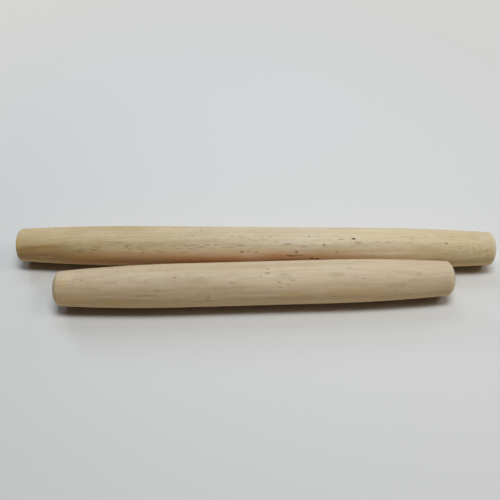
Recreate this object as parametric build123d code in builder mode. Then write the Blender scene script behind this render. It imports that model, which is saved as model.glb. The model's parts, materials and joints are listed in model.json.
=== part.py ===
from build123d import *

import os
from math import cos, radians, sin, sqrt

# A long and a short French rolling pin that lie side by side. Each is one turned piece of
# wood: a straight barrel, a long gentle taper to either end, and a softly crowned end face
# with a small flat in its middle.
# The frame is in millimetres, with +X along the long pin and +Z up. Its origin is the middle
# of the pair's footprint, on the surface that both pins rest on.

# Long pin, at the back
long_length = 500.0
long_barrel_diameter = 42.4
long_end_diameter = 34.5
long_taper_length = 128.0
long_crown_depth = 2.4
long_flat_diameter = 15.0
long_edge_radius = 3.0

# Short pin, at the front
short_length = 400.0
short_barrel_diameter = 44.2
short_end_diameter = 35.0
short_taper_length = 126.0
short_crown_depth = 5.0
short_flat_diameter = 15.0
short_edge_radius = 4.5

# How the short pin lies: turned from the long pin's line, shifted along it, and almost
# touching it at the closest place
short_turn_degrees = 2.5
short_shift = -0.3
closest_gap = 0.8


def taper_arc_radius(barrel_diameter, end_diameter, taper_length, crown_depth):
    """The radius of the arc that leaves the barrel in line with it and ends at the crown."""
    run = taper_length - crown_depth
    drop = (barrel_diameter - end_diameter) / 2
    return (run**2 + drop**2) / (2 * drop)


def turned_pin(
    place, length, barrel_diameter, end_diameter, taper_length, crown_depth, flat_diameter, edge_radius
):
    """One pin on a level plane through its axis, with the plane's X along the pin."""
    with BuildPart() as pin:
        with BuildSketch(place) as outline:
            with BuildLine():
                barrel = Line((0, barrel_diameter / 2), (length / 2 - taper_length, barrel_diameter / 2))
                taper = TangentArc(
                    barrel @ 1, (length / 2 - crown_depth, end_diameter / 2), tangent=(1, 0)
                )
                crown = TangentArc((length / 2, flat_diameter / 2), taper @ 1, tangent=(0, 1))
                Polyline(crown @ 0, (length / 2, 0), (0, 0))
                mirror(about=Plane.YZ)
            make_face()
            columns = outline.vertices().group_by(Axis.X)
            fillet(columns[1] + columns[-2], edge_radius)
        revolve(axis=Axis(place.origin, place.x_dir))
    return pin


# Where the pins lie, seen from above. Both outlines that face each other are a straight
# barrel that runs into a taper arc, so the closest place is found from the arcs' centres.
turn = radians(short_turn_degrees)
long_arc = taper_arc_radius(long_barrel_diameter, long_end_diameter, long_taper_length, long_crown_depth)
short_arc = taper_arc_radius(
    short_barrel_diameter, short_end_diameter, short_taper_length, short_crown_depth
)
long_barrel_half = long_length / 2 - long_taper_length
short_barrel_half = short_length / 2 - short_taper_length
long_centre_depth = long_arc - long_barrel_diameter / 2
short_centre_depth = short_arc - short_barrel_diameter / 2

# The short pin's taper arc leans on the long pin's arc, or on its barrel if that is first
short_centre_along = short_shift + short_barrel_half * cos(turn) + short_centre_depth * sin(turn)
past_the_barrel = max(short_centre_along - long_barrel_half, 0)
between_centres = long_arc + closest_gap + short_arc
short_centre_across = long_centre_depth - sqrt(between_centres**2 - past_the_barrel**2)
short_across = short_centre_across - short_barrel_half * sin(turn) + short_centre_depth * cos(turn)

# The middle of the footprint, between the long pin's back and the short pin's front
footprint_back = long_barrel_diameter / 2
footprint_front = (
    short_across - short_barrel_half * sin(turn) + short_centre_depth * cos(turn) - short_arc
)
footprint_middle = (footprint_back + footprint_front) / 2

long_place = Plane(
    origin=(0, -footprint_middle, long_barrel_diameter / 2),
    x_dir=(1, 0, 0),
    z_dir=(0, 0, 1),
)
short_place = Plane(
    origin=(short_shift, short_across - footprint_middle, short_barrel_diameter / 2),
    x_dir=(cos(turn), sin(turn), 0),
    z_dir=(0, 0, 1),
)

long_pin = turned_pin(
    long_place,
    long_length,
    long_barrel_diameter,
    long_end_diameter,
    long_taper_length,
    long_crown_depth,
    long_flat_diameter,
    long_edge_radius,
)
long_pin.part.label = "long_pin"

short_pin = turned_pin(
    short_place,
    short_length,
    short_barrel_diameter,
    short_end_diameter,
    short_taper_length,
    short_crown_depth,
    short_flat_diameter,
    short_edge_radius,
)
short_pin.part.label = "short_pin"

os.makedirs("parts", exist_ok=True)
export_step(long_pin.part, "parts/long_pin.step")
export_step(short_pin.part, "parts/short_pin.step")
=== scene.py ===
import json
from math import atan2, cos, pi, radians, sin, sqrt

import bpy
from mathutils import Euler, Matrix, Vector


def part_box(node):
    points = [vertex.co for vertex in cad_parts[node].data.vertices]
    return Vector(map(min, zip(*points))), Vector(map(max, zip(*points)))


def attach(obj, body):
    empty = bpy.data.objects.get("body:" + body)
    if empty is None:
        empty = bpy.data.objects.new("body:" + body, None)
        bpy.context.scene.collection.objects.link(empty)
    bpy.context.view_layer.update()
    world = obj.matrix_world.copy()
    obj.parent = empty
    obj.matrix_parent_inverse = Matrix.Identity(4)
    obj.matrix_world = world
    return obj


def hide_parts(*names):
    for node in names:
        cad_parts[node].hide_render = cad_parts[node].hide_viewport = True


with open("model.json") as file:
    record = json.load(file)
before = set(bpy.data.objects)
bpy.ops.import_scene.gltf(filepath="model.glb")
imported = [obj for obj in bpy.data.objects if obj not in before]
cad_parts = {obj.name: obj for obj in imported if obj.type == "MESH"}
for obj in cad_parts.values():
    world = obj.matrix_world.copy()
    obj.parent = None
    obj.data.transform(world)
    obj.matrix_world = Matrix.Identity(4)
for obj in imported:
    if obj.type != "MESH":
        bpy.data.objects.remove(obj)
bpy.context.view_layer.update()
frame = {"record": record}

# Sizes
# In metres. Lengths, barrel diameters and places come from the frame. What the frame doesn't
# say outright is named here, as the turner would mark it on the blank.

MM = 0.001

LONG = {
    "name": "long_pin",
    "ends": ("long_pin_left_end", "long_pin_right_end"),
    "end_diameter": 34.5 * MM,
    "taper_length": 128.0 * MM,
    "crown_depth": 2.4 * MM,
    "flat_diameter": 15.0 * MM,
    "edge_radius": 3.0 * MM,
    "rim_depth": 7.0 * MM,
}
SHORT = {
    "name": "short_pin",
    "ends": ("short_pin_left_end", "short_pin_right_end"),
    "end_diameter": 35.0 * MM,
    "taper_length": 126.0 * MM,
    "crown_depth": 5.0 * MM,
    "flat_diameter": 15.0 * MM,
    "edge_radius": 4.5 * MM,
    "rim_depth": 8.0 * MM,
}

SIDES = 144                         # faces round a pin
BARREL_STEP = 4.0 * MM              # from one ring of faces to the next on the barrel
TAPER_STEPS = 34                    # rings of faces on each taper
EDGE_STEPS = 10                     # and on each rounded edge
CROWN_STEPS = 8                     # and on each crown
FLAT_SHARES = (0.75, 0.5, 0.25, 0)  # rings of faces on the flat, as shares of its radius
SAME_PLACE = 0.01 * MM              # corners nearer to each other than this are one
SANDING_DEPTH = 0.12 * MM           # the most that sanding by hand has taken off the turned shape
SANDING_SIZE = 22.0 * MM            # how wide the hollows that it left are


def mount(name):
    """The place of one of the record's mounts."""
    for each in frame["record"]["mounts"]:
        if each["name"] == name:
            return Vector(each["pos_m"])
    raise KeyError(name)


def measure(pin):
    """Adds to a pin's sizes what the frame knows: its middle, direction, length and barrel."""
    left, right = (mount(name) for name in pin["ends"])
    low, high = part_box(pin["name"])
    pin["middle"] = (left + right) / 2
    pin["along"] = (right - left).normalized()
    pin["length"] = (right - left).length
    pin["barrel_diameter"] = min(high.z, 2 * pin["middle"].z) - max(low.z, 0)


measure(LONG)
measure(SHORT)


# Turning a pin

def arc(centre, radius, start, end, count):
    """Points on an arc from one angle to another, both included."""
    steps = [start + (end - start) * i / count for i in range(count + 1)]
    return [(centre[0] + radius * cos(a), centre[1] + radius * sin(a)) for a in steps]


def outline(pin):
    """Half of a pin's outline as (along, radius) points, from the middle to the right end."""
    half = pin["length"] / 2
    barrel = pin["barrel_diameter"] / 2
    end = pin["end_diameter"] / 2
    flat = pin["flat_diameter"] / 2
    crown = pin["crown_depth"]
    edge = pin["edge_radius"]

    # The taper is one arc that leaves the barrel in line with it
    run, drop = pin["taper_length"] - crown, barrel - end
    taper_radius = (run**2 + drop**2) / (2 * drop)
    taper_centre = (half - pin["taper_length"], barrel - taper_radius)

    # The crown is one arc that meets the flat squarely
    rise = end - flat
    crown_radius = (crown**2 + rise**2) / (2 * crown)
    crown_centre = (half - crown_radius, flat)

    # The edge between them is rounded by a small arc that touches both from inside. Its centre
    # is the outer one of the two points that are its radius away from both arcs.
    near, far = taper_radius - edge, crown_radius - edge
    dx, dy = crown_centre[0] - taper_centre[0], crown_centre[1] - taper_centre[1]
    apart = sqrt(dx**2 + dy**2)
    part = (near**2 - far**2 + apart**2) / (2 * apart)
    off = sqrt(near**2 - part**2)
    edge_centre = (
        taper_centre[0] + (part * dx + off * dy) / apart,
        taper_centre[1] + (part * dy - off * dx) / apart,
    )
    leaves = atan2(edge_centre[1] - taper_centre[1], edge_centre[0] - taper_centre[0])
    meets = atan2(edge_centre[1] - crown_centre[1], edge_centre[0] - crown_centre[0])

    barrel_half = half - pin["taper_length"]
    rings = round(barrel_half / BARREL_STEP)
    points = [(barrel_half * i / rings, barrel) for i in range(rings)]
    points += arc(taper_centre, taper_radius, pi / 2, leaves, TAPER_STEPS)
    points += arc(edge_centre, edge, leaves, meets, EDGE_STEPS)[1:]
    points += arc(crown_centre, crown_radius, meets, 0, CROWN_STEPS)[1:]
    points += [(half, flat * share) for share in FLAT_SHARES]
    return points


def radius_at(pin, along):
    """A pin's radius at a distance from its middle."""
    points = outline(pin)
    for (a, ra), (b, rb) in zip(points, points[1:]):
        if a <= abs(along) <= b and b > a:
            return ra + (rb - ra) * (abs(along) - a) / (b - a)
    return points[-1][1]


def turn_pin(pin):
    """One pin: its outline is drawn by extruding a point, spun round the axis, and sanded."""
    right_half = outline(pin)
    points = [(-along, radius) for along, radius in reversed(right_half)] + right_half[1:]
    upward = Vector((0, 0, 1))
    place = [pin["middle"] + pin["along"] * along + upward * radius for along, radius in points]

    bpy.ops.object.select_all(action="DESELECT")
    bpy.ops.mesh.primitive_plane_add(size=MM, location=place[0])
    piece = bpy.context.object
    piece.name = pin["name"] + "_turned"
    piece.data.name = piece.name
    bpy.ops.object.mode_set(mode="EDIT")
    bpy.ops.mesh.select_mode(type="VERT")
    bpy.ops.mesh.select_all(action="SELECT")
    bpy.ops.mesh.merge(type="CENTER")
    for here, there in zip(place, place[1:]):
        bpy.ops.mesh.extrude_region_move(TRANSFORM_OT_translate={"value": there - here})
    bpy.ops.mesh.select_all(action="SELECT")
    bpy.ops.mesh.spin(steps=SIDES, angle=2 * pi, center=pin["middle"], axis=pin["along"])
    bpy.ops.mesh.select_all(action="SELECT")
    bpy.ops.mesh.remove_doubles(threshold=SAME_PLACE)
    bpy.ops.mesh.normals_make_consistent(inside=False)
    bpy.ops.object.mode_set(mode="OBJECT")
    bpy.ops.object.transform_apply(location=True, rotation=True, scale=True)

    hollows = bpy.data.textures.new(piece.name + "_sanding", "CLOUDS")
    hollows.noise_scale = SANDING_SIZE
    hollows.noise_depth = 1
    sanding = piece.modifiers.new("sanding", "DISPLACE")
    sanding.texture = hollows
    sanding.texture_coords = "LOCAL"
    sanding.direction = "NORMAL"
    sanding.mid_level = 1.0
    sanding.strength = SANDING_DEPTH
    bpy.ops.object.modifier_apply(modifier=sanding.name)
    bpy.ops.object.shade_smooth()
    return piece


# Building materials

def tint(red, green, blue):
    """A colour as it is seen on a screen, from 0 to 255, in the numbers that shaders use."""
    parts = [value / 255 for value in (red, green, blue)]
    return tuple(p / 12.92 if p <= 0.04045 else ((p + 0.055) / 1.055) ** 2.4 for p in parts) + (1,)


def add(tree, kind, feeds=None, **settings):
    """A node with its settings, and its sockets fed by numbers or by other nodes."""
    made = tree.nodes.new(kind)
    for name, value in settings.items():
        setattr(made, name, value)
    for socket, value in (feeds or {}).items():
        if isinstance(value, bpy.types.NodeSocket):
            tree.links.new(value, made.inputs[socket])
        else:
            made.inputs[socket].default_value = value
    return made


def maths(tree, operation, a, b=0.0, c=0.0):
    """One step of arithmetic."""
    return add(tree, "ShaderNodeMath", {0: a, 1: b, 2: c}, operation=operation).outputs[0]


def vectors(tree, operation, a, b=(0, 0, 0), c=(0, 0, 0)):
    """One step of arithmetic on places."""
    made = add(tree, "ShaderNodeVectorMath", {0: a, 1: b, 2: c}, operation=operation)
    return made.outputs["Value" if operation == "LENGTH" else "Vector"]


def colours(tree, mode, factor, a, b):
    """Two colours mixed, or one multiplied by the other, as far as the factor says."""
    feeds = {0: factor, 6: a, 7: b}
    return add(tree, "ShaderNodeMix", feeds, data_type="RGBA", blend_type=mode).outputs[2]


def remap(tree, value, low, high, to_low=0.0, to_high=1.0):
    """A value eased from one range to another, and held at the ends."""
    feeds = {"Value": value, "From Min": low, "From Max": high, "To Min": to_low, "To Max": to_high}
    return add(tree, "ShaderNodeMapRange", feeds, interpolation_type="SMOOTHSTEP").outputs["Result"]


def within(tree, value, low, high, edge):
    """1 between two values and 0 outside them, eased over an edge at both."""
    starts = remap(tree, value, low - edge, low + edge)
    ends = remap(tree, value, high - edge, high + edge, 1.0, 0.0)
    return maths(tree, "MULTIPLY", starts, ends)


def noise(tree, place, often, detail=2.0, roughness=0.5, output="Fac"):
    """A random pattern, and how often it changes in each direction."""
    feeds = {
        "Vector": vectors(tree, "MULTIPLY", place, often),
        "Scale": 1.0,
        "Detail": detail,
        "Roughness": roughness,
    }
    return add(tree, "ShaderNodeTexNoise", feeds).outputs[output]


def noise_vector(tree, place, often, size):
    """Noise in three directions, each from minus half the size to plus half of it."""
    made = noise(tree, place, often, 1.0, output="Color")
    parts = add(tree, "ShaderNodeSeparateColor", {0: made}).outputs
    joined = add(tree, "ShaderNodeCombineXYZ", {0: parts[0], 1: parts[1], 2: parts[2]}).outputs[0]
    centred = vectors(tree, "SUBTRACT", joined, (0.5, 0.5, 0.5))
    return vectors(tree, "MULTIPLY", centred, (size, size, size))


def new_group(name, inputs, outputs):
    """An empty node group with named sockets: its tree, its inputs and its outputs."""
    tree = bpy.data.node_groups.new(name, "ShaderNodeTree")
    for label, kind, default in inputs:
        socket = tree.interface.new_socket(label, in_out="INPUT", socket_type="NodeSocket" + kind)
        socket.default_value = default
    for label in outputs:
        tree.interface.new_socket(label, in_out="OUTPUT", socket_type="NodeSocketFloat")
    taken = tree.nodes.new("NodeGroupInput").outputs
    given = tree.nodes.new("NodeGroupOutput").inputs
    return tree, taken, given


# Wood

# How often each pattern in the wood changes in a metre, along the blank and across it
OFTEN = {
    "bend": (5, 14, 14),
    "belt": (14, 60, 60),
    "clump": (34, 120, 120),
    "dash": (85, 720, 720),
    "pore": (260, 3200, 3200),
    "fibre": (16, 900, 900),
    "streak": (7, 210, 210),
    "mottle": (75, 270, 270),
    "drift": (17, 55, 55),
    "scratch": (2400, 60, 60),
    "open_grain": (520, 620, 620),
    "ragged": (400, 1500, 1500),
    "wobble": (30, 160, 160),
}

# The noise's own values between which each pattern comes in
COMES_IN = {
    "belt": (0.42, 0.58),
    "clump": (0.40, 0.58),
    "dash": (0.54, 0.66),
    "pore": (0.60, 0.74),
    "fibre": (0.25, 0.75),
    "roughness": (0.20, 0.80),
    "streak": (0.30, 0.70),
    "mottle": (0.30, 0.70),
    "drift": (0.36, 0.66),
    "open_grain": (0.50, 0.68),
}

# How high fibres, late wood and scratches stand, and how deep pores and rays lie
HEIGHTS = {"fibre": 0.5, "ring": 0.3, "scratch": 0.35, "pore": 0.6, "ray": 0.25}

ACROSS = (0, 1, 1)        # leaves only what lies across a pin of a place in its own space
SEED_ASIDE = 0.37         # how far a seed moves the wood sideways, for each metre along

# Rings
RING_BEND = 9.0 * MM      # how far they wander from side to side
RING_CHANGE = 0.31        # how often their width changes in one ring's width
RING_UNEVEN = 3.0         # by how many rings it changes
LATE_WOOD_POWER = 3.0     # how near to a ring's end its late wood lies
RING_OPENING = 0.12       # the share of a ring in which the last one's late wood ends

# Rays
RAY_LENGTH = 7.0 * MM     # along the grain
RAY_WIDTH = 0.95 * MM     # from one to the next
RAY_DEPTH = 9.0 * MM      # out from the heart
RAY_RADIUS = 90.0 * MM    # how far from the heart that width is right
RAY_KEPT = (0.5, 0.95)    # the chance number from which one shows, and shows in full
RAY_FADE = (0.15, 0.5)    # from its middle, as shares of its size, where it fades out
RAY_QUIET = 0.15          # how strong rays are outside their belts

# Streaks and dashes
BUSY_EDGE = 12                    # degrees to both sides over which the side with more figure ends
CALM_ENDS = (100 * MM, 200 * MM)  # from the middle, over which the figure gets weaker
CALM_SHARE = 0.75                 # how strong it is from there on
RED_POWER = 0.85                  # how red changes in a streak where green changes by 1
BLUE_POWER = 1.35                 # and how blue does
DASHES_EDGE = 7                   # degrees over which a field of dashes fades out, to both sides
DASHES_END = 12 * MM              # and the same along the pin

# Ends
CROWN_START = 0.6 * MM    # before the crown, where end grain begins to show
CROWN_FULL = 0.8 * MM     # past it, where it shows in full
RIM_BLEND = 4.5 * MM      # over which the cut grain near a crown turns paler
MIDDLE_BLEND = 10.0 * MM  # from the pin's middle, where its two rims' strengths change over
OPEN_GRAIN = 0.4          # how strong the specks in the cut grain are

# Surface
RAGGED_SHARE = 0.6        # how ragged a mark's edge is, as a share of the mark
ROUGHNESS = (0.56, 0.68)  # from the smoothest fibres to the roughest
END_ROUGHER = 0.1         # how much rougher the ends are
GROOVE_STEP = 0.9 * MM    # from one round groove of the parting tool to the next
GROOVE_HEIGHT = 0.2       # how high its edges stand
BUMP_DEPTH = 0.12 * MM    # from the top of the grain to its bottom
BUMP_STRENGTH = 0.35

# What the wood is multiplied by in full where each of these lies on it
LATE_WOOD_SHADE = (0.86, 0.80, 0.72, 1)
DARK_YEAR_SHADE = (0.93, 0.89, 0.83, 1)
RAY_SHADE = (0.60, 0.50, 0.40, 1)
PORE_SHADE = (0.70, 0.60, 0.50, 1)
DASH_SHADE = (0.58, 0.47, 0.36, 1)
OPEN_GRAIN_SHADE = (0.80, 0.70, 0.56, 1)
WEDGE_SHADE = (0.68, 0.59, 0.42, 1)

# What it is mixed with: paler cut grain, which on the right rims is also a painted highlight, and
# olive
CUT_GRAIN_AND_HIGHLIGHT_TINT = tint(222, 208, 184)
OLIVE_RIM_TINT = tint(188, 162, 84)


def figure_group():
    """The wood inside a blank: growth rings round the tree's heart, rays, pores and fibres."""
    tree, taken, given = new_group(
        "wood_figure",
        [
            ("Place", "Vector", (0, 0, 0)),
            ("Heart", "Vector", (0, 0, 0)),
            ("Ring Width", "Float", 2.4 * MM),
            ("Seed", "Float", 0.0),
        ],
        ["Ring", "Band", "Ray", "Dash", "Pore", "Fibre", "Streak", "Mottle", "Drift", "Height"],
    )
    place, heart, seed = taken["Place"], taken["Heart"], taken["Seed"]
    shift = add(tree, "ShaderNodeCombineXYZ", {0: seed, 1: maths(tree, "MULTIPLY", seed, SEED_ASIDE)})
    moved = vectors(tree, "ADD", place, shift.outputs[0])

    # Rings: far from the heart, a little wavy along the blank, and uneven in width
    bend = noise(tree, moved, OFTEN["bend"], output="Color")
    bend = vectors(tree, "SUBTRACT", bend, (0.5, 0.5, 0.5))
    bend = vectors(tree, "MULTIPLY", bend, (0, RING_BEND, RING_BEND))
    from_heart = vectors(tree, "SUBTRACT", vectors(tree, "ADD", place, bend), heart)
    parts = add(tree, "ShaderNodeSeparateXYZ", {0: from_heart}).outputs
    out = vectors(tree, "LENGTH", vectors(tree, "MULTIPLY", from_heart, ACROSS))
    rings = maths(tree, "DIVIDE", out, taken["Ring Width"])
    rings = maths(tree, "ADD", rings, seed)
    in_line = add(tree, "ShaderNodeCombineXYZ", {0: rings}).outputs[0]
    uneven = maths(tree, "MULTIPLY", noise(tree, in_line, (RING_CHANGE, 0, 0)), RING_UNEVEN)
    rings = maths(tree, "ADD", rings, uneven)
    phase = maths(tree, "FRACT", rings)
    late = maths(tree, "POWER", phase, LATE_WOOD_POWER)
    opening = remap(tree, phase, 0.0, RING_OPENING, 1.0, 0.0)
    ring = maths(tree, "MAXIMUM", late, opening)
    tree.links.new(ring, given["Ring"])
    whole = maths(tree, "FLOOR", rings)
    year = add(tree, "ShaderNodeTexWhiteNoise", {"W": whole}, noise_dimensions="1D")
    tree.links.new(year.outputs["Value"], given["Band"])

    # Rays: thin sheets that run out from the heart, seen end on as short dashes
    turn = maths(tree, "ARCTAN2", parts[2], parts[1])
    round_heart = maths(tree, "MULTIPLY", turn, RAY_RADIUS)
    sheet = add(tree, "ShaderNodeCombineXYZ", {
        0: maths(tree, "DIVIDE", maths(tree, "ADD", parts[0], seed), RAY_LENGTH),
        1: maths(tree, "DIVIDE", round_heart, RAY_WIDTH),
        2: maths(tree, "DIVIDE", out, RAY_DEPTH),
    }).outputs[0]
    cells = add(tree, "ShaderNodeTexVoronoi", {"Vector": sheet, "Scale": 1.0})
    some = add(tree, "ShaderNodeSeparateColor", {0: cells.outputs["Color"]}).outputs[0]
    some = remap(tree, some, *RAY_KEPT)
    belts = noise(tree, moved, OFTEN["belt"], 1.0)
    belts = remap(tree, belts, *COMES_IN["belt"], RAY_QUIET, 1.0)
    ray = remap(tree, cells.outputs["Distance"], *RAY_FADE, 1.0, 0.0)
    ray = maths(tree, "MULTIPLY", ray, some)
    ray = maths(tree, "MULTIPLY", ray, belts)
    tree.links.new(ray, given["Ray"])

    # Dashes: longer and darker lines that lie close together in clumps
    clump = noise(tree, moved, OFTEN["clump"], 1.0)
    clump = remap(tree, clump, *COMES_IN["clump"])
    dash = noise(tree, moved, OFTEN["dash"], 1.0, 0.4)
    dash = remap(tree, dash, *COMES_IN["dash"])
    dash = maths(tree, "MULTIPLY", dash, clump)
    tree.links.new(dash, given["Dash"])

    # Pores: much finer dashes, everywhere
    pore = noise(tree, moved, OFTEN["pore"], 1.0)
    pore = remap(tree, pore, *COMES_IN["pore"])
    tree.links.new(pore, given["Pore"])

    # Fibres: hair-fine lines along the grain, and broader streaks, mottle and drift
    fibre = noise(tree, moved, OFTEN["fibre"], 3.0, 0.6)
    tree.links.new(fibre, given["Fibre"])
    bent = vectors(tree, "ADD", moved, bend)
    tree.links.new(noise(tree, bent, OFTEN["streak"], 3.0, 0.55), given["Streak"])
    tree.links.new(noise(tree, bent, OFTEN["mottle"]), given["Mottle"])
    tree.links.new(noise(tree, moved, OFTEN["drift"]), given["Drift"])

    # Fibres, late wood and sanding scratches stand up, and pores and rays lie deeper
    height = maths(tree, "MULTIPLY", fibre, HEIGHTS["fibre"])
    height = maths(tree, "SUBTRACT", height, maths(tree, "MULTIPLY", pore, HEIGHTS["pore"]))
    height = maths(tree, "SUBTRACT", height, maths(tree, "MULTIPLY", ray, HEIGHTS["ray"]))
    height = maths(tree, "ADD", height, maths(tree, "MULTIPLY", ring, HEIGHTS["ring"]))
    scratch = noise(tree, moved, OFTEN["scratch"], 1.0)
    scratch = maths(tree, "MULTIPLY", scratch, HEIGHTS["scratch"])
    height = maths(tree, "ADD", height, scratch)
    tree.links.new(height, given["Height"])
    return tree


def mark_group():
    """A small mark that lies along the grain: full in its middle and gone at its length and
    width."""
    tree, taken, given = new_group(
        "wood_mark",
        [
            ("Place", "Vector", (0, 0, 0)),
            ("Spot", "Vector", (0, 0, 0)),
            ("Spread", "Vector", (MM, MM, MM)),
            ("Soft", "Float", 0.5),
            ("Ragged", "Vector", (0, 0, 0)),
        ],
        ["Mask"],
    )
    moved = vectors(tree, "MULTIPLY_ADD", taken["Ragged"], taken["Spread"], taken["Place"])
    away = vectors(tree, "SUBTRACT", moved, taken["Spot"])
    away = vectors(tree, "DIVIDE", away, taken["Spread"])
    far = vectors(tree, "LENGTH", away)
    inner = maths(tree, "SUBTRACT", 1.0, taken["Soft"])
    tree.links.new(remap(tree, far, inner, 1.0, 1.0, 0.0), given["Mask"])
    return tree


FIGURE = figure_group()
MARK = mark_group()


def pin_space(tree, pin):
    """A place in the pin's own space, which runs along it, towards its back and up from its
    middle. Then how far along that is, and its angle from the top towards the front."""
    turn = atan2(pin["along"].y, pin["along"].x)
    back = Matrix.Rotation(-turn, 3, "Z")
    place = add(tree, "ShaderNodeMapping", {
        "Vector": add(tree, "ShaderNodeTexCoord").outputs["Object"],
        "Location": -(back @ pin["middle"]),
        "Rotation": Euler((0, 0, -turn)),
    }, vector_type="POINT").outputs[0]
    parts = add(tree, "ShaderNodeSeparateXYZ", {0: place}).outputs
    front = maths(tree, "MULTIPLY", parts[1], -1.0)
    angle = maths(tree, "MULTIPLY", maths(tree, "ARCTAN2", front, parts[2]), 180 / pi)
    return place, parts[0], angle


def blank_tone(tree, along, half, stops):
    """The blank's own colour, which changes from its left end to its right end."""
    share = add(tree, "ShaderNodeMapRange", {"Value": along, "From Min": -half, "From Max": half})
    ramp = add(tree, "ShaderNodeValToRGB", {0: share.outputs[0]})
    ramp.color_ramp.interpolation = "B_SPLINE"
    tones = ramp.color_ramp.elements
    while len(tones) < len(stops):
        tones.new(0.5)
    for tone, (at, shade) in zip(tones, stops):
        tone.position, tone.color = at, shade
    return ramp.outputs["Color"]


def figured(tree, wood, figure, along, angle, end_grain, kind):
    """The wood with its late wood, darker years, drift, streaks, mottle, fibres, rays, pores and
    dashes. The figure shows most on one side of the pin and near its middle."""
    ring = maths(tree, "MULTIPLY_ADD", end_grain, kind["ring"], kind["ring"])
    ring = maths(tree, "MULTIPLY", figure["Ring"], ring)
    wood = colours(tree, "MULTIPLY", ring, wood, LATE_WOOD_SHADE)
    band = maths(tree, "MULTIPLY", figure["Band"], kind["band"])
    wood = colours(tree, "MULTIPLY", band, wood, DARK_YEAR_SHADE)
    drift = remap(tree, figure["Drift"], *COMES_IN["drift"], 0.0, kind["drift"])
    wood = colours(tree, "MULTIPLY", drift, wood, kind["drift_shade"])

    streak, fibre, mottle = kind["streak"], kind["fibre"], kind["mottle"]
    streaks = remap(tree, figure["Streak"], *COMES_IN["streak"], -streak, streak)
    fibres = remap(tree, figure["Fibre"], *COMES_IN["fibre"], -fibre, fibre)
    shade = maths(tree, "ADD", streaks, fibres)
    mottles = remap(tree, figure["Mottle"], *COMES_IN["mottle"], -mottle, mottle)
    shade = maths(tree, "ADD", shade, mottles)
    middle, wide, quiet = kind["busy_side"]
    aside = maths(tree, "ABSOLUTE", maths(tree, "SUBTRACT", angle, middle))
    busy = remap(tree, aside, wide - BUSY_EDGE, wide + BUSY_EDGE, 1.0, quiet)
    from_middle = maths(tree, "ABSOLUTE", along)
    calm = remap(tree, from_middle, *CALM_ENDS, 1.0, CALM_SHARE)
    busy = maths(tree, "MULTIPLY", busy, calm)
    shade = maths(tree, "MULTIPLY_ADD", shade, busy, 1.0)
    # A darker streak is also a warmer one
    warm = add(tree, "ShaderNodeCombineColor", {
        0: maths(tree, "POWER", shade, RED_POWER),
        1: shade,
        2: maths(tree, "POWER", shade, BLUE_POWER),
    }).outputs[0]
    wood = colours(tree, "MULTIPLY", 1.0, wood, warm)

    ray = maths(tree, "MULTIPLY", figure["Ray"], kind["ray"])
    wood = colours(tree, "MULTIPLY", ray, wood, RAY_SHADE)
    pore = maths(tree, "MULTIPLY", figure["Pore"], kind["pore"])
    wood = colours(tree, "MULTIPLY", pore, wood, PORE_SHADE)
    for low, high, first, last, strength in kind["dashes"]:
        there = within(tree, angle, low, high, DASHES_EDGE)
        here = within(tree, along, first * MM, last * MM, DASHES_END)
        there = maths(tree, "MULTIPLY", there, here)
        there = maths(tree, "MULTIPLY", there, figure["Dash"])
        there = maths(tree, "MULTIPLY", there, strength)
        wood = colours(tree, "MULTIPLY", there, wood, DASH_SHADE)
    return wood


def end_rims_with_highlight(tree, wood, pin, place, along, kind):
    """The wood as it is towards each crown, where the grain is cut across: paler, with open
    specks in it. The right rims are made paler than the left ones, as a painted highlight."""
    starts = pin["length"] / 2 - pin["rim_depth"]
    rim = remap(tree, maths(tree, "ABSOLUTE", along), starts, starts + RIM_BLEND)
    speck = noise(tree, place, OFTEN["open_grain"])
    speck = remap(tree, speck, *COMES_IN["open_grain"], 0.0, OPEN_GRAIN)
    speck = maths(tree, "MULTIPLY", rim, speck)
    wood = colours(tree, "MULTIPLY", speck, wood, OPEN_GRAIN_SHADE)
    left, right = kind["rim_paleness_and_highlight"]
    # The right rim is paler than the left: a painted highlight on top of the paler cut grain
    pale = remap(tree, along, -MIDDLE_BLEND, MIDDLE_BLEND, left, right)
    return colours(tree, "MIX", maths(tree, "MULTIPLY", rim, pale), wood, CUT_GRAIN_AND_HIGHLIGHT_TINT)


def on_surface(pin, along, angle):
    """A place on a pin in its own space: angles go from the top towards the front."""
    radius = radius_at(pin, along)
    return (along, -radius * sin(radians(angle)), radius * cos(radians(angle)))


def marked(tree, wood, pin, place, kind):
    """The wood with its marks on it, the broad soft ones first."""
    tints = {**BROAD_TINTS, **kind["tints"]}
    ragged = noise_vector(tree, place, OFTEN["ragged"], RAGGED_SHARE)
    for label, soft in MARK_KINDS:
        if label not in kind["marks"]:
            continue
        covered = 0.0
        for at, angle, length, width, strength in kind["marks"][label]:
            mask = add(tree, "ShaderNodeGroup", {
                "Place": place,
                "Ragged": ragged,
                "Spot": on_surface(pin, at * MM, angle),
                "Spread": (length * MM / 2, width * MM / 2, width * MM / 2),
                "Soft": soft,
            }, node_tree=MARK).outputs["Mask"]
            mask = maths(tree, "MULTIPLY", mask, strength)
            covered = maths(tree, "MAXIMUM", covered, mask)
        wood = colours(tree, "MIX", covered, wood, tints[label])
    return wood


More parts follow.
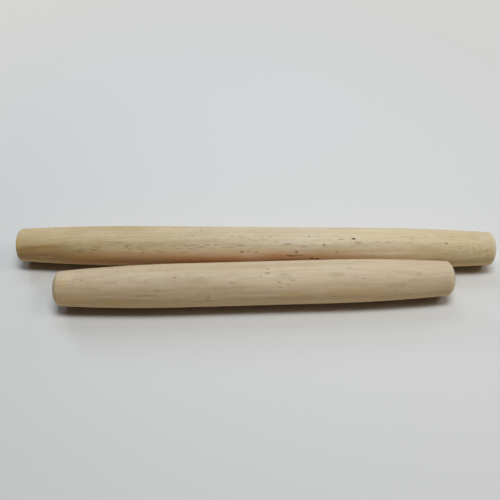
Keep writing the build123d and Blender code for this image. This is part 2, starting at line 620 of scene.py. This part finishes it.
def pin_wood(pin, name, kind):
    """Bare wood for one pin: its figure, its stains and painted crease shade, its rims, and the small
    marks on its surface, some of them painted sheen, highlight and shade.
    """
    material = bpy.data.materials.new(name)
    material.use_nodes = True
    tree = material.node_tree
    tree.nodes.clear()
    place, along, angle = pin_space(tree, pin)
    figure = add(tree, "ShaderNodeGroup", {
        "Place": place,
        "Heart": kind["heart"],
        "Ring Width": kind["ring_width"],
        "Seed": kind["seed"],
    }, node_tree=FIGURE).outputs

    # The crowned ends show the wood across its grain, where the rings stand out more
    half = pin["length"] / 2
    crown = half - pin["crown_depth"]
    from_middle = maths(tree, "ABSOLUTE", along)
    end_grain = remap(tree, from_middle, crown - CROWN_START, crown + CROWN_FULL)

    wood = blank_tone(tree, along, half, kind["blank"])
    wood = figured(tree, wood, figure, along, angle, end_grain, kind)
    # The long pin's stains, with its painted crease shade
    if "colouring_and_shade" in kind:
        wood = kind["colouring_and_shade"](tree, wood, place, along, angle)
    wood = end_rims_with_highlight(tree, wood, pin, place, along, kind)
    wood = marked(tree, wood, pin, place, kind)

    rough = remap(tree, figure["Fibre"], *COMES_IN["roughness"], *ROUGHNESS)
    rough = maths(tree, "ADD", rough, maths(tree, "MULTIPLY", end_grain, END_ROUGHER))
    # The ends also keep the fine round grooves of the turner's parting tool
    from_axis = vectors(tree, "LENGTH", vectors(tree, "MULTIPLY", place, ACROSS))
    groove = maths(tree, "SINE", maths(tree, "MULTIPLY", from_axis, 2 * pi / GROOVE_STEP))
    groove = maths(tree, "MULTIPLY", groove, end_grain)
    groove = maths(tree, "MULTIPLY", groove, GROOVE_HEIGHT)
    height = maths(tree, "ADD", figure["Height"], groove)
    bump = add(tree, "ShaderNodeBump", {
        "Height": height,
        "Strength": BUMP_STRENGTH,
        "Distance": BUMP_DEPTH,
    })
    surface = add(tree, "ShaderNodeBsdfPrincipled", {
        "Base Color": wood,
        "Roughness": rough,
        "IOR": 1.5,
        "Specular IOR Level": 0.5,
        "Normal": bump.outputs[0],
    })
    add(tree, "ShaderNodeOutputMaterial", {0: surface.outputs[0]})
    return material


# The long pin's stains, and its painted crease shade

# Angles are degrees from the top towards the front. Places run along the pin from its middle,
# so that the left end's are negative.

# Warmer, darker colour low on the front, where the long pin faces the short one: painted warm shade
# from the crease between the pins. (from and to angle over which it begins, from and to mm along,
# strength, tint)
WARM_COLOUR_AND_CREASE_SHADE = (
    (34, 54, -165, 30, 0.50, tint(220, 182, 142)),
    (52, 82, -200, -10, 0.68, tint(206, 152, 98)),
    (60, 76, -85, 20, 0.50, tint(210, 142, 90)),
    (48, 66, 8, 80, 0.78, tint(186, 127, 74)),
    (68, 78, 26, 90, 0.50, tint(140, 92, 50)),
    (36, 52, 56, 118, 0.45, tint(180, 142, 102)),
    (52, 72, 78, 155, 0.60, tint(182, 138, 92)),
)
WARM_EDGE = 16.0 * MM               # over which each fades out along the pin, to both sides
WOBBLE = 9.0                        # degrees by which the stains' edges wander from side to side
SKIN = (10.5 * MM, 16.0 * MM)       # from the axis, over which they begin on the end faces
UNDERSIDE = (92, 142)               # angles over which they end
WEDGE_CLIMB = -220.0                # degrees by which the wedge's upper edge turns in a metre
WEDGE_MIDDLE = -5.0                 # and its angle if it reached the pin's middle
WEDGE_EDGE = (-9.0, 3.5)            # degrees below that line over which the wedge begins
WEDGE_FADE = (42, 54)               # and over which it gets weaker
WEDGE_REST = 0.45                   # how strong it is from there on
WEDGE_TIP = (-236 * MM, -190 * MM)  # where it fades out at the top
WEDGE_SLANT = 0.3 * MM              # how much farther it reaches with each degree of angle

# Its darker parts, under its upper edge and at its foot: (from and to degrees below that line and
# how soft these are, from and to mm along and how soft these are, shade)
WEDGE_DARKER = (
    (0, 5, 2.5, -238, -208, 6, (0.88, 0.86, 0.72, 1)),
    (20, 34, 5, -252, -208, 8, (0.88, 0.82, 0.74, 1)),
)

OLIVE_RIM = (-246.5 * MM, -241.5 * MM)  # where the olive of the left rim fades out
OLIVE_SIDE = (16, 52)                   # the angles that it lies between
OLIVE_EDGE = 6                          # degrees by which those edges are soft, to both sides
OLIVE_STRENGTH = 0.70


def long_pin_colouring_and_crease_shade(tree, wood, place, along, angle):
    """The long pin's left end with its brown wedge and olive rim, and a painted warm shade low on
    the front, orange towards the middle, where the crease between the two pins lies."""
    wobble = noise(tree, place, OFTEN["wobble"])
    wobble = maths(tree, "MULTIPLY", maths(tree, "SUBTRACT", wobble, 0.5), WOBBLE)
    angle = maths(tree, "ADD", angle, wobble)

    # The stains and the painted shade don't reach round the underside, and on the end they stay near
    # the rim
    from_axis = vectors(tree, "LENGTH", vectors(tree, "MULTIPLY", place, ACROSS))
    skin = remap(tree, from_axis, *SKIN)
    skin = maths(tree, "MULTIPLY", skin, remap(tree, angle, *UNDERSIDE, 1.0, 0.0))

    # Painted warm shade from the crease between the pins
    for starts, full, first, last, strength, warmth in WARM_COLOUR_AND_CREASE_SHADE:
        low = remap(tree, angle, starts, full)
        band = within(tree, along, first * MM, last * MM, WARM_EDGE)
        band = maths(tree, "MULTIPLY", low, band)
        band = maths(tree, "MULTIPLY", band, maths(tree, "MULTIPLY", skin, strength))
        wood = colours(tree, "MIX", band, wood, warmth)

    # The wedge lies below a line that climbs a little as it leaves the end
    line = maths(tree, "MULTIPLY_ADD", along, WEDGE_CLIMB, WEDGE_MIDDLE)
    below = maths(tree, "SUBTRACT", angle, line)
    wedge = remap(tree, below, *WEDGE_EDGE)
    wedge = maths(tree, "MULTIPLY", wedge, remap(tree, below, *WEDGE_FADE, 1.0, WEDGE_REST))
    reach = maths(tree, "MULTIPLY_ADD", angle, -WEDGE_SLANT, along)
    wedge = maths(tree, "MULTIPLY", wedge, remap(tree, reach, *WEDGE_TIP, 1.0, 0.0))
    wedge = maths(tree, "MULTIPLY", wedge, skin)
    wood = colours(tree, "MULTIPLY", wedge, wood, WEDGE_SHADE)
    for high, low, soft, first, last, blend, shade in WEDGE_DARKER:
        darker = within(tree, below, high, low, soft)
        here = within(tree, along, first * MM, last * MM, blend * MM)
        darker = maths(tree, "MULTIPLY", darker, here)
        darker = maths(tree, "MULTIPLY", darker, skin)
        wood = colours(tree, "MULTIPLY", darker, wood, shade)

    olive = remap(tree, along, *OLIVE_RIM, 1.0, 0.0)
    olive = maths(tree, "MULTIPLY", olive, within(tree, angle, *OLIVE_SIDE, OLIVE_EDGE))
    olive = maths(tree, "MULTIPLY", olive, maths(tree, "MULTIPLY", skin, OLIVE_STRENGTH))
    return colours(tree, "MIX", olive, wood, OLIVE_RIM_TINT)


# The two kinds of wood

# The kinds of marks in the order in which they lie on each other, and how soft their edges are
MARK_KINDS = (
    ("pale", 1.0),
    # painted sheen: pale grey patches
    ("painted_sheen", 1.0),
    ("olive", 1.0),
    ("gold", 1.0),
    ("rose", 1.0),
    ("dash", 0.5),
    ("knot", 0.45),
    ("hole", 0.4),
)
BROAD_TINTS = {
    "pale": tint(218, 190, 154),
    # painted sheen is pale grey
    "painted_sheen": tint(212, 204, 188),
    "olive": tint(158, 138, 102),
    "gold": tint(196, 160, 94),
    "rose": tint(202, 160, 124),
}

# "heart" is where the tree's heart lay, in the pin's own space. "blank" is the colour at shares
# of the length from the left end. "busy_side" is the angle where the figure is strongest, how
# many degrees it reaches from there, and how strong it is elsewhere. "rim_paleness_and_highlight"
# is how pale the left and the right rim are; the right rim's greater paleness is a painted
# highlight. "ring" to "pore" are strengths, and "drift_shade" is what the wood is multiplied by in
# full where it drifts. "dashes" are (from and to angle, from and to mm along, strength). Marks are
# (mm along, angle, mm long, mm wide, strength).
LONG_WOOD = {
    "heart": (0, 0.064, -0.064),
    "ring_width": 2.6 * MM,
    "seed": 1.7,
    "blank": [
        (0.0, tint(192, 166, 122)),
        (0.3, tint(193, 169, 132)),
        (0.55, tint(204, 186, 158)),
        (0.8, tint(211, 191, 159)),
        (1.0, tint(199, 174, 134)),
    ],
    "tints": {"knot": tint(100, 62, 6), "dash": tint(112, 74, 14), "hole": tint(60, 36, 10)},
    "busy_side": (62.0, 40.0, 0.5),
    "rim_paleness_and_highlight": (0.10, 0.55),
    "ring": 0.45,
    "band": 0.4,
    "drift": 0.6,
    "drift_shade": (0.93, 0.87, 0.77, 1),
    "streak": 0.10,
    "fibre": 0.07,
    "mottle": 0.08,
    "ray": 0.6,
    "pore": 0.4,
    "dashes": [(30, 64, -195, 30, 0.55), (4, 34, -60, 200, 0.15)],
    "colouring_and_shade": long_pin_colouring_and_crease_shade,
    "marks": {
        "pale": [
            (-62, 44, 210, 19, 0.4),
            (0, 40, 90, 15, 0.4),
            (-14, 58, 4.5, 2.2, 0.9),
            (140, 46, 90, 12, 0.25),
            # A painted highlight along the top, to the right of the middle
            (118, 10, 120, 14, 0.3),
            (-216, 58, 40, 12, 0.1),
        ],
        # Pale grey patches of painted sheen, mostly on the top and back
        "painted_sheen": [
            (238, 0, 34, 18, 0.28),
            (212, -20, 50, 12, 0.15),
            (-50, 38, 60, 10, 0.12),
        ],
        "gold": [
            (-172, 78, 74, 10, 0.6),
            (-222, 84, 22, 7, 0.4),
            (-150, 66, 16, 5, 0.35),
            (180, 56, 90, 16, 0.35),
            (205, 20, 60, 14, 0.25),
            (-216, 52, 40, 14, 0.2),
            (74, 52, 60, 8, 0.25),
        ],
        "rose": [
            (140, 44, 62, 10, 0.4),
            (-212, 79, 16, 6, 0.4),
            (-132, 78, 50, 8, 0.45),
            (-100, 62, 18, 5, 0.35),
        ],
        "olive": [
            (-186, 0, 50, 14, 0.3),
            (-155, -18, 130, 12, 0.35),
            (-60, 4, 40, 10, 0.2),
            (222, 84, 56, 13, 0.45),
            (240, 82, 24, 16, 0.6),
            (-15, 12, 20, 6, 0.2),
            (-221, 0, 34, 10, 0.28),
            (72, 52, 60, 8, 0.15),
        ],
        "dash": [
            (-180, 58, 13, 0.9, 0.62),
            (-178, 51.3, 15, 0.9, 0.56),
            (-165.5, 51.3, 13, 0.9, 0.67),
            (-169, 60, 9, 0.9, 0.45),
            (-148.8, 38.4, 14, 0.9, 0.62),
            (-131, 58, 10, 1.0, 0.45),
            (-128.4, 49, 6, 1.2, 0.56),
            (-119, 45.5, 13, 0.9, 0.67),
            (-115.7, 50.5, 10, 0.9, 0.62),
            (-99.5, 53.6, 14, 0.9, 0.56),
            (-95, 58.2, 15, 0.9, 0.5),
            (-84, 39, 11, 0.9, 0.62),
            (-78, 46.7, 10, 0.9, 0.45),
            (-74.8, 57.6, 8, 1.1, 0.62),
            (-69.5, 38.6, 12, 0.9, 0.67),
            (-64.3, 35.6, 11, 1.0, 0.67),
            (-66.3, 46.4, 11, 0.9, 0.45),
            (-54.4, 41.4, 12, 1.0, 0.84),
            (-48.4, 36.2, 9, 1.0, 0.78),
            (-40.8, 35.2, 8, 1.0, 0.56),
            (-16, 37, 16, 1.2, 0.56),
            (-24, 41.5, 9, 1.1, 0.45),
            (0, 22.8, 8, 1.5, 0.34),
            (0.9, 55.9, 5, 2.2, 0.45),
            (32.3, 30.6, 8, 1.3, 0.67),
            (49.3, 38.4, 8, 1.3, 0.56),
            (88, 16, 8, 1.6, 0.56),
            (105, 27, 12, 1.3, 0.56),
            (105, 23.5, 7, 1.2, 0.39),
            (136, 24, 9, 2.0, 0.34),
        ],
        "knot": [
            (-132.7, 41, 5.0, 1.3, 0.56),
            (-131.5, 44.5, 4.0, 1.2, 0.5),
            (-115.7, 60.5, 3, 2.6, 0.45),
            (-64, 9, 3.0, 2.2, 0.22),
            (-24.1, 10.5, 3.4, 2.0, 0.43),
            (-14, 55, 5.5, 1.5, 1.0),
            (15.5, 10.5, 3.2, 2.0, 0.34),
            (42, 53, 5, 2.0, 0.95),
            (55.3, 8, 4.2, 3.4, 0.34),
            (70.3, 33, 4.2, 1.7, 1.0),
            (83, 53.6, 3.6, 3.0, 0.39),
            (196, 25, 5.0, 3.0, 0.45),
            (238, 48, 5, 2.0, 0.3),
            (239, 62, 5, 2.0, 0.3),
        ],
        # Holes are not cut into the surface: their dark tint is painted shade
        "hole": [
            (36.5, 65, 12, 1.6, 0.8),
            (45, 63, 14, 1.2, 0.5),
            (58.2, 73, 4.6, 3.2, 0.75),
            (63.6, 73.6, 4.6, 3.2, 0.75),
            (100.7, 14.6, 5.2, 2.4, 1.0),
        ],
    },
}
SHORT_WOOD = {
    "heart": (0, 0.050, -0.075),
    "ring_width": 2.9 * MM,
    "seed": 5.3,
    "blank": [
        (0.0, tint(191, 167, 136)),
        (0.45, tint(193, 170, 141)),
        (0.8, tint(204, 181, 152)),
        (1.0, tint(192, 169, 140)),
    ],
    "tints": {"knot": tint(124, 84, 38), "dash": tint(138, 98, 48)},
    "busy_side": (62.0, 44.0, 0.7),
    "rim_paleness_and_highlight": (0.10, 0.35),
    "ring": 0.38,
    "band": 0.3,
    "drift": 0.5,
    "drift_shade": (0.94, 0.87, 0.77, 1),
    "streak": 0.075,
    "fibre": 0.0525,
    "mottle": 0.06,
    "ray": 0.45,
    "pore": 0.35,
    "dashes": [(26, 46, -40, 60, 0.2), (20, 40, 70, 125, 0.25), (54, 78, -125, -30, 0.2)],
    "marks": {
        "pale": [
            (34, 37, 170, 14, 0.6),
            (-134, 34, 90, 12, 0.2),
            (150, 30, 80, 14, 0.25),
            (166, 66, 60, 20, 0.3),
            (-184, 2, 24, 14, 0.35),
            (122, 42, 70, 9, 0.3),
            (-20, 30, 70, 14, 0.2),
        ],
        # Pale grey patches of painted sheen, mostly on the top and back
        "painted_sheen": [
            (-20, 32, 60, 14, 0.12),
            (-12, -26, 40, 12, 0.12),
            (132, -20, 40, 14, 0.15),
        ],
        "olive": [
            (-40, -10, 190, 14, 0.26),
            (60, -14, 150, 12, 0.26),
            (-143, 24, 28, 6, 0.4),
            (-54, 27, 26, 9, 0.4),
            (-63, 0, 20, 18, 0.25),
            (28, 15, 22, 12, 0.35),
            (24, -12, 18, 10, 0.3),
            (79, 19, 28, 9, 0.45),
            (160, 22, 10, 6, 0.4),
            (-171, 71, 10, 5, 0.25),
            (70, 76, 130, 14, 0.18),
            (-184, 78, 40, 16, 0.25),
            (-140, 84, 90, 10, 0.15),
        ],
        "gold": [
            (-188, 24, 16, 12, 0.42),
            (-190, 76, 22, 12, 0.45),
            (-176, 70, 50, 18, 0.35),
            (-140, 86, 120, 12, 0.4),
            (37, 66, 50, 14, 0.5),
            (96, 68, 90, 14, 0.4),
        ],
        "rose": [
            (-130, 50, 60, 8, 0.25),
            (-20, 66, 60, 10, 0.2),
            (74, 72, 90, 12, 0.4),
            (-180, 70, 50, 16, 0.35),
        ],
        "dash": [
            (-136, 24, 8, 2.0, 0.35),
            (-108.5, 61.8, 31, 1.3, 0.85),
            (-146, 57, 40, 0.9, 0.35),
            (-47, 70, 7, 1.3, 0.6),
            (-47, 75, 6, 1.3, 0.6),
            (-46, 81, 7, 1.3, 0.6),
            (-22, 34.4, 10, 1.1, 0.6),
            (-24, 31, 6, 1.2, 0.3),
            (31, 40.6, 6, 1.3, 0.5),
            (36, 31, 7, 1.3, 0.5),
            (24, 48.7, 6, 1.3, 0.5),
            (105.5, 31, 9, 1.3, 0.5),
            (98, 27, 8, 1.3, 0.35),
            (92.7, 0.5, 5, 2.0, 0.35),
        ],
        "knot": [
            (-168.4, 13.6, 4.5, 2.2, 0.55),
            (-78, 16, 4.5, 2.2, 0.55),
            (-96, 47.5, 7, 3.0, 0.36),
            (-52, 18.5, 5, 2.5, 0.25),
            (12.3, -2.4, 4, 2.8, 0.45),
            (11.7, 10.7, 7, 2.8, 0.5),
            (5.6, 19, 3, 1.8, 0.5),
            (23, 35.2, 5, 1.5, 0.75),
            (77.8, 79, 4, 2.6, 0.4),
            (161, 22.4, 4, 2.8, 0.15),
        ],
    },
}


# The two pins

for pin, kind, slot in (
    (LONG, LONG_WOOD, "long_pin_wood"),
    (SHORT, SHORT_WOOD, "short_pin_wood"),
):
    piece = turn_pin(pin)
    piece.data.materials.append(pin_wood(pin, slot + "_bare", kind))
    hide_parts(pin["name"])
    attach(piece, pin["name"])


# Floor and room

FLOOR_TONE = tint(214, 208, 203)
ROOM_TONE = tint(214, 213, 211)
FLOOR_GLOW = (0.86, 0.76, 0.60, 1)    # the floor's colour for the light that it throws on the pins
ROOM_GLOW = (0.008, 0.008, 0.007, 1)  # and the room's
NO_GLOW = (0, 0, 0, 1)
FLOOR_SIZE = 30.0
FLOOR_FADE = (0.27, 0.75)             # from the middle, over which it turns into the room
# A painted shade darkens the floor's seen colour close under the pins
PAINTED_SHADE_REACH = 25 * MM                   # how near something stands that makes the floor darker
PAINTED_SHADE_OPEN = 0.8                        # how open the floor is where it isn't darker any more
PAINTED_SHADE_DARKEST = 0.35                      # how pale it still is where it isn't open at all
PAINTED_SHADE_SAMPLES = 12


def pale_to_the_eye(tree, real, pale):
    """One colour for the light that reaches the pins, and another for what is seen."""
    path = tree.nodes.new("ShaderNodeLightPath").outputs
    seen = maths(tree, "MAXIMUM", path["Is Camera Ray"], path["Is Glossy Ray"])
    seen = maths(tree, "MAXIMUM", seen, path["Is Transmission Ray"])
    return colours(tree, "MIX", seen, real, pale)


def floor_pale():
    """A matt pale floor, which is as pale as the room behind it where the lamps don't reach."""
    material = bpy.data.materials.new("floor_pale")
    material.use_nodes = True
    tree = material.node_tree
    tree.nodes.clear()
    # Close under the pins the floor's seen colour is darkened by a painted shade, from how open each
    # point is
    feeds = {"Color": FLOOR_TONE, "Distance": PAINTED_SHADE_REACH}
    painted_shade_ao = add(tree, "ShaderNodeAmbientOcclusion", feeds, samples=PAINTED_SHADE_SAMPLES)
    painted_shade = remap(tree, painted_shade_ao.outputs["AO"], 0.0, PAINTED_SHADE_OPEN, PAINTED_SHADE_DARKEST, 1.0)
    painted_shade = add(tree, "ShaderNodeCombineColor", {0: painted_shade, 1: painted_shade, 2: painted_shade}).outputs[0]
    tone = colours(tree, "MULTIPLY", 1.0, FLOOR_TONE, painted_shade)
    matt = add(tree, "ShaderNodeBsdfDiffuse", {"Color": pale_to_the_eye(tree, FLOOR_GLOW, tone)})
    room = pale_to_the_eye(tree, NO_GLOW, ROOM_TONE)
    room = add(tree, "ShaderNodeEmission", {"Color": room})
    from_pins = vectors(tree, "LENGTH", add(tree, "ShaderNodeTexCoord").outputs["Object"])
    both = add(tree, "ShaderNodeMixShader", {
        0: remap(tree, from_pins, *FLOOR_FADE),
        1: matt.outputs[0],
        2: room.outputs[0],
    })
    add(tree, "ShaderNodeOutputMaterial", {0: both.outputs[0]})
    return material


bpy.ops.object.select_all(action="DESELECT")
bpy.ops.mesh.primitive_plane_add(size=FLOOR_SIZE, location=(0, 0, 0))
floor = bpy.context.object
floor.name = "floor"
floor.data.materials.append(floor_pale())

world = bpy.data.worlds.new("room")
bpy.context.scene.world = world
world.use_nodes = True
world.node_tree.nodes.clear()
glow = pale_to_the_eye(world.node_tree, ROOM_GLOW, ROOM_TONE)
glow = add(world.node_tree, "ShaderNodeBackground", {"Color": glow})
add(world.node_tree, "ShaderNodeOutputWorld", {0: glow.outputs[0]})


# Lamps

LAMPS_AIM = Vector((0, 0, 20 * MM))


def lamp(name, place, size, level, colour):
    """A soft rectangular lamp that faces the pins. Its level is how bright it makes a white
    surface that faces it."""
    away = Vector(place) - LAMPS_AIM
    light = bpy.data.lights.new(name, "AREA")
    light.shape = "RECTANGLE"
    light.size, light.size_y = size
    light.energy = level * (pi * away.length) ** 2
    light.color = colour
    holder = bpy.data.objects.new(name, light)
    bpy.context.scene.collection.objects.link(holder)
    facing = away.normalized()
    wide = Vector((0, 1, 0)).cross(facing).normalized()
    turned = Matrix((wide, facing.cross(wide), facing)).transposed().to_4x4()
    holder.matrix_world = Matrix.Translation(place) @ turned


lamp("ceiling_lamp", (0.10, 0.0, 1.41), (0.60, 0.30), 0.69, (0.86, 0.955, 1.0))
lamp("back_lamp", (-0.15, 0.80, 1.17), (0.60, 0.40), 0.20, (0.74, 0.86, 1.0))
lamp("back_left_lamp", (-0.78, 0.93, 0.72), (0.35, 0.35), 0.22, (0.76, 0.87, 1.0))
lamp("back_right_lamp", (0.78, 0.93, 0.72), (0.45, 0.45), 0.07, (0.90, 0.965, 1.0))
lamp("right_lamp", (0.90, 0.0, 1.09), (0.50, 0.50), 0.20, (1.0, 0.98, 0.95))
lamp("front_lamp", (0.0, -1.35, 0.16), (0.90, 0.20), 0.065, (1.0, 0.84, 0.60))


# Camera, which stands where the photograph was taken from

CAMERA_PLACE = Vector((-1.774, -381.068, 508.486)) * MM
CAMERA_DOWN = radians(50.347)
CAMERA_PAN = radians(-0.552)
CAMERA_ROLL = radians(0.032)
CAMERA_LENS = 43.2
SENSOR_WIDTH = 36.0
NEAREST_SEEN = 10 * MM

level = Vector((sin(CAMERA_PAN), cos(CAMERA_PAN), 0))
ahead = level * cos(CAMERA_DOWN) - Vector((0, 0, sin(CAMERA_DOWN)))
right = Vector((cos(CAMERA_PAN), -sin(CAMERA_PAN), 0))
upward = right.cross(ahead)
right, upward = (
    right * cos(CAMERA_ROLL) + upward * sin(CAMERA_ROLL),
    upward * cos(CAMERA_ROLL) - right * sin(CAMERA_ROLL),
)
camera_data = bpy.data.cameras.new("camera")
camera_data.lens = CAMERA_LENS
camera_data.sensor_width = SENSOR_WIDTH
camera_data.sensor_fit = "HORIZONTAL"
camera_data.clip_start = NEAREST_SEEN
camera = bpy.data.objects.new("camera", camera_data)
bpy.context.scene.collection.objects.link(camera)
facing = Matrix((right, upward, -ahead)).transposed().to_4x4()
camera.matrix_world = Matrix.Translation(CAMERA_PLACE) @ facing
bpy.context.scene.camera = camera

bpy.context.scene.view_settings.view_transform = "Standard"
